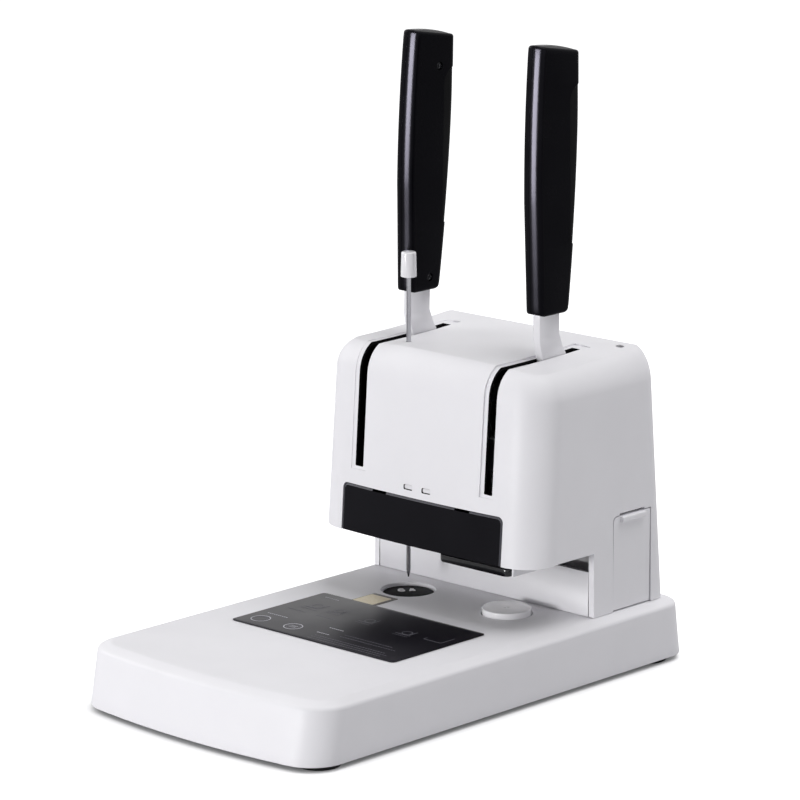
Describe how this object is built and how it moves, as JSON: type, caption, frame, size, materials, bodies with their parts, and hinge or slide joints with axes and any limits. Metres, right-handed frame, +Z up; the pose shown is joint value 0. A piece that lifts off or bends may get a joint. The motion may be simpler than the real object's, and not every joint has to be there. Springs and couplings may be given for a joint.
{
  "type": "two-lever drilling and riveting binder",
  "caption": "Desk binding machine: one lever feeds a hollow drill through a stack of paper, the other a hot press that closes a rivet in the hole.",
  "frame": {"origin": "on the table, under the middle of the overall box", "axes": "+X the machine's right, -Y its front where paper goes in, +Z up"},
  "size_m": [0.221, 0.38, 0.43],
  "materials": {
    "white_plastic": "fine-grained moulded plastic",
    "black_plastic": "satin black plastic",
    "soft_black": "soft-touch matt rubber",
    "smoked_plastic": "dark smoked clear plastic",
    "white_paint": "smooth white paint",
    "steel": "bright machined steel",
    "dark_steel": "blackened steel",
    "zinc": "zinc-plated sheet",
    "aluminium": "machined aluminium",
    "brass": "turned brass",
    "rubber": "black rubber",
    "lens": "frosted lens",
    "film": "dark printed film",
    "ceramic": "fired ceramic board",
    "board": "lacquered circuit board"
  },
  "bodies": {
    "machine": {"base_shell": "white_plastic", "base_plate": "zinc", "foot_front_left": "rubber", "foot_front_right": "rubber", "foot_rear_left": "rubber", "foot_rear_right": "rubber", "instruction_panel": "film", "pad_cup": "white_plastic", "anvil_post": "dark_steel", "anvil_cap": "white_plastic", "housing_shell": "white_plastic", "window_guard": "smoked_plastic", "indicator_lens_left": "lens", "indicator_lens_right": "lens", "column_front_panel": "white_plastic", "chassis_frame": "zinc", "frame_tie_plate": "zinc", "head_floor": "dark_steel", "punch_pivot_shaft": "steel", "rivet_pivot_shaft": "steel", "quill_guide": "dark_steel", "ram_guide": "dark_steel", "foot_shroud": "white_paint", "power_inlet": "black_plastic", "switch_frame": "black_plastic", "control_board": "board"},
    "pad": {"cutting_pad": "black_plastic"},
    "punch_lever": {"punch_lever_bar": "white_paint", "punch_sector_gear": "steel", "punch_grip_inner": "black_plastic", "punch_grip_outer": "black_plastic", "punch_grip_inlay": "soft_black", "punch_grip_screw_low": "dark_steel", "punch_grip_screw_top": "dark_steel"},
    "rivet_lever": {"rivet_lever_bar": "white_paint", "rivet_sector_gear": "steel", "rivet_grip_inner": "black_plastic", "rivet_grip_outer": "black_plastic", "rivet_grip_inlay": "soft_black", "rivet_grip_screw_low": "dark_steel", "rivet_grip_screw_top": "dark_steel"},
    "quill": {"drill_quill": "steel", "motor_carrier": "zinc", "drill_motor": "dark_steel", "drive_belt": "rubber"},
    "spindle": {"drill_spindle": "steel", "chuck_nut": "dark_steel", "hollow_drill_bit": "steel", "spindle_pulley": "aluminium"},
    "motor_rotor": {"motor_pulley": "aluminium"},
    "needle": {"clearing_needle": "steel", "needle_knob": "white_plastic"},
    "press": {"press_ram": "steel", "heat_insulator": "ceramic", "heater_block": "aluminium", "rivet_die": "brass", "presser_foot": "black_plastic"},
    "drawer": {"side_drawer": "white_plastic"},
    "rocker": {"power_rocker": "black_plastic"}
  },
  "joints": [
    {"name": "punch_lever_pivot", "type": "hinge", "parent": "machine", "child": "punch_lever", "pos_m": [-0.05917, 0.1032, 0.138], "axis": [1, 0, 0], "range_deg": [0, 74], "stiffness_Nm_per_rad": 0.6, "springref_deg": -40.11},
    {"name": "drill_feed", "type": "slide", "parent": "machine", "child": "quill", "axis": [0, 0, -1], "range_m": [0, 0.04135]},
    {"name": "drill_spin", "type": "hinge", "parent": "quill", "child": "spindle", "pos_m": [-0.0399, 0.0644, 0.128], "axis": [0, 0, 1], "continuous": true},
    {"name": "motor_spin", "type": "hinge", "parent": "quill", "child": "motor_rotor", "pos_m": [-0.004, 0.0644, 0.2], "axis": [0, 0, 1], "continuous": true},
    {"name": "rivet_lever_pivot", "type": "hinge", "parent": "machine", "child": "rivet_lever", "pos_m": [0.05917, 0.1032, 0.138], "axis": [1, 0, 0], "range_deg": [0, 74], "stiffness_Nm_per_rad": 0.6, "springref_deg": -40.11},
    {"name": "press_feed", "type": "slide", "parent": "machine", "child": "press", "axis": [0, 0, -1], "range_m": [0, 0.03105]},
    {"name": "needle_lift", "type": "slide", "parent": "machine", "child": "needle", "axis": [0, 0, 1], "range_m": [-0.01, 0.15]},
    {"name": "pad_turn", "type": "hinge", "parent": "machine", "child": "pad", "pos_m": [-0.0399, 0.0644, 0.037], "axis": [0, 0, 1], "continuous": true},
    {"name": "drawer_slide", "type": "slide", "parent": "machine", "child": "drawer", "axis": [1, 0, 0], "range_m": [0, 0.05]},
    {"name": "power_rocker_tilt", "type": "hinge", "parent": "machine", "child": "rocker", "pos_m": [-0.012, 0.17216, 0.074], "axis": [1, 0, 0], "range_deg": [-16, 0]}
  ],
  "couplings": [
    {"joint": "drill_feed", "follows": "punch_lever_pivot", "m_per_rad": 0.032},
    {"joint": "press_feed", "follows": "rivet_lever_pivot", "m_per_rad": 0.024},
    {"joint": "motor_spin", "follows": "drill_spin", "ratio": 1.7895}
  ]
}
